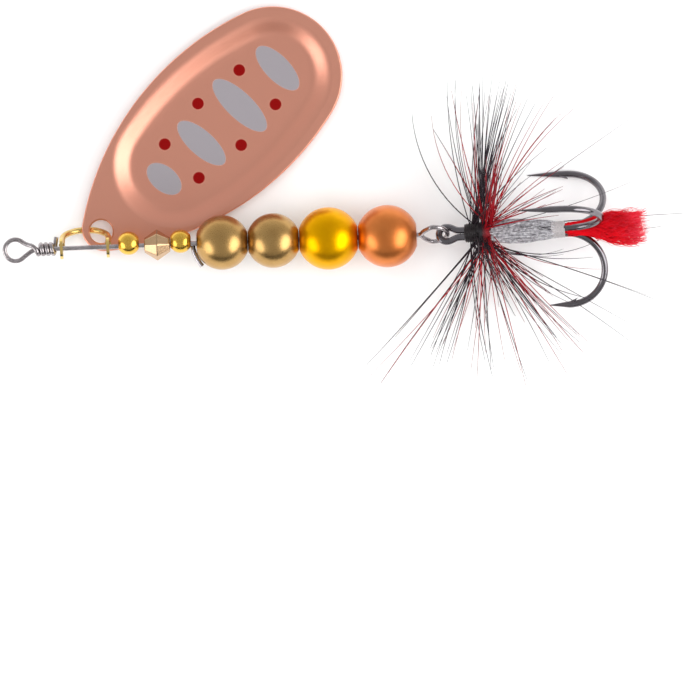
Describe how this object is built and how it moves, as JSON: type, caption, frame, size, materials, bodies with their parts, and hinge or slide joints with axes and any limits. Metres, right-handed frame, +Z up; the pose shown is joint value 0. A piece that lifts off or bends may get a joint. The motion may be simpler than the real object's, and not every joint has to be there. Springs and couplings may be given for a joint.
{
  "type": "inline spinner",
  "caption": "Inline spinner lure: a dished blade swings on a clevis round a wire shaft, ahead of a row of beads and a feather-dressed treble hook.",
  "frame": {"origin": "centre of the line-tie eye at the front of the wire shaft", "axes": "+X along the shaft from the line-tie eye to the hook, +Y the side the blade lies to, +Z up from the table that the lure lies on"},
  "size_m": [0.0835, 0.05, 0.0257],
  "materials": {
    "steel_wire": "drawn stainless spring wire, satin",
    "clevis_brass": "gold-plated brass wire, bright",
    "blade_plating": "rose-copper plating with silver and copper ovals and small dark red dots, satin lacquer",
    "small_bead_gold": "bright gold plating",
    "bicone_champagne": "champagne plating, faceted, satin",
    "antique_brass": "antique brass, polished and lacquered",
    "gold_lacquer": "transparent yellow-gold lacquer over metal, satin",
    "copper_lacquer": "copper-orange lacquer over metal, satin",
    "hook_black_nickel": "black-nickel plated hook wire",
    "hook_braze": "braze metal, plated dark",
    "black_thread": "waxed tying thread",
    "hackle_quill": "wound feather stems, black and dark red",
    "silver_tinsel": "silvery translucent tinsel strands",
    "grey_thread": "pale grey tying thread",
    "red_wool": "fluffy scarlet wool",
    "black_hackle": "stiff black hackle barbs",
    "red_hackle": "stiff crimson hackle barbs"
  },
  "bodies": {
    "shaft": {"shaft_wire": "steel_wire"},
    "clevis": {"clevis": "clevis_brass"},
    "blade": {"blade": "blade_plating"},
    "front_small_bead": {"front_small_bead": "small_bead_gold"},
    "bicone_bead": {"bicone_bead": "bicone_champagne"},
    "rear_small_bead": {"rear_small_bead": "small_bead_gold"},
    "front_brass_bead": {"front_brass_bead": "antique_brass"},
    "second_brass_bead": {"second_brass_bead": "antique_brass"},
    "gold_bead": {"gold_bead": "gold_lacquer"},
    "copper_bead": {"copper_bead": "copper_lacquer"},
    "treble_hook": {"hook_pair": "hook_black_nickel", "hook_single": "hook_black_nickel", "hook_braze": "hook_braze", "head_thread": "black_thread", "hackle_quill": "hackle_quill", "tinsel_body": "silver_tinsel", "tail_tie": "grey_thread", "wool_tail": "red_wool", "hackle_black": "black_hackle", "hackle_red": "red_hackle", "hackle_lower": "black_hackle"}
  },
  "joints": [
    {"name": "clevis_spin", "type": "hinge", "parent": "shaft", "child": "clevis", "pos_m": [0.00857, 0, 0], "axis": [1, 0, 0], "continuous": true},
    {"name": "blade_swing", "type": "hinge", "parent": "clevis", "child": "blade", "pos_m": [0.0106, 0.00207, -0.00484], "axis": [0, 0, 1], "range_deg": [-38, 36]},
    {"name": "front_small_bead_spin", "type": "hinge", "parent": "shaft", "child": "front_small_bead", "pos_m": [0.0142, 0.00036, 0], "axis": [1, 0, 0], "continuous": true},
    {"name": "bicone_bead_spin", "type": "hinge", "parent": "shaft", "child": "bicone_bead", "pos_m": [0.01785, 0, 0], "axis": [1, 0, 0], "continuous": true},
    {"name": "rear_small_bead_spin", "type": "hinge", "parent": "shaft", "child": "rear_small_bead", "pos_m": [0.02086, 0.00036, 0], "axis": [1, 0, 0], "continuous": true},
    {"name": "front_brass_bead_spin", "type": "hinge", "parent": "shaft", "child": "front_brass_bead", "pos_m": [0.02618, 0, -0.0003], "axis": [1, 0, 0], "continuous": true},
    {"name": "second_brass_bead_spin", "type": "hinge", "parent": "shaft", "child": "second_brass_bead", "pos_m": [0.03275, 0, -0.0003], "axis": [1, 0, 0], "continuous": true},
    {"name": "gold_bead_spin", "type": "hinge", "parent": "shaft", "child": "gold_bead", "pos_m": [0.03982, 0, -0.0003], "axis": [1, 0, 0], "continuous": true},
    {"name": "copper_bead_spin", "type": "hinge", "parent": "shaft", "child": "copper_bead", "pos_m": [0.04738, 0, -0.0003], "axis": [1, 0, 0], "continuous": true},
    {"name": "treble_swing", "type": "hinge", "parent": "shaft", "child": "treble_hook", "pos_m": [0.0551, 0, -0.0003], "axis": [0, 0, 1], "range_deg": [-45, 45]}
  ]
}
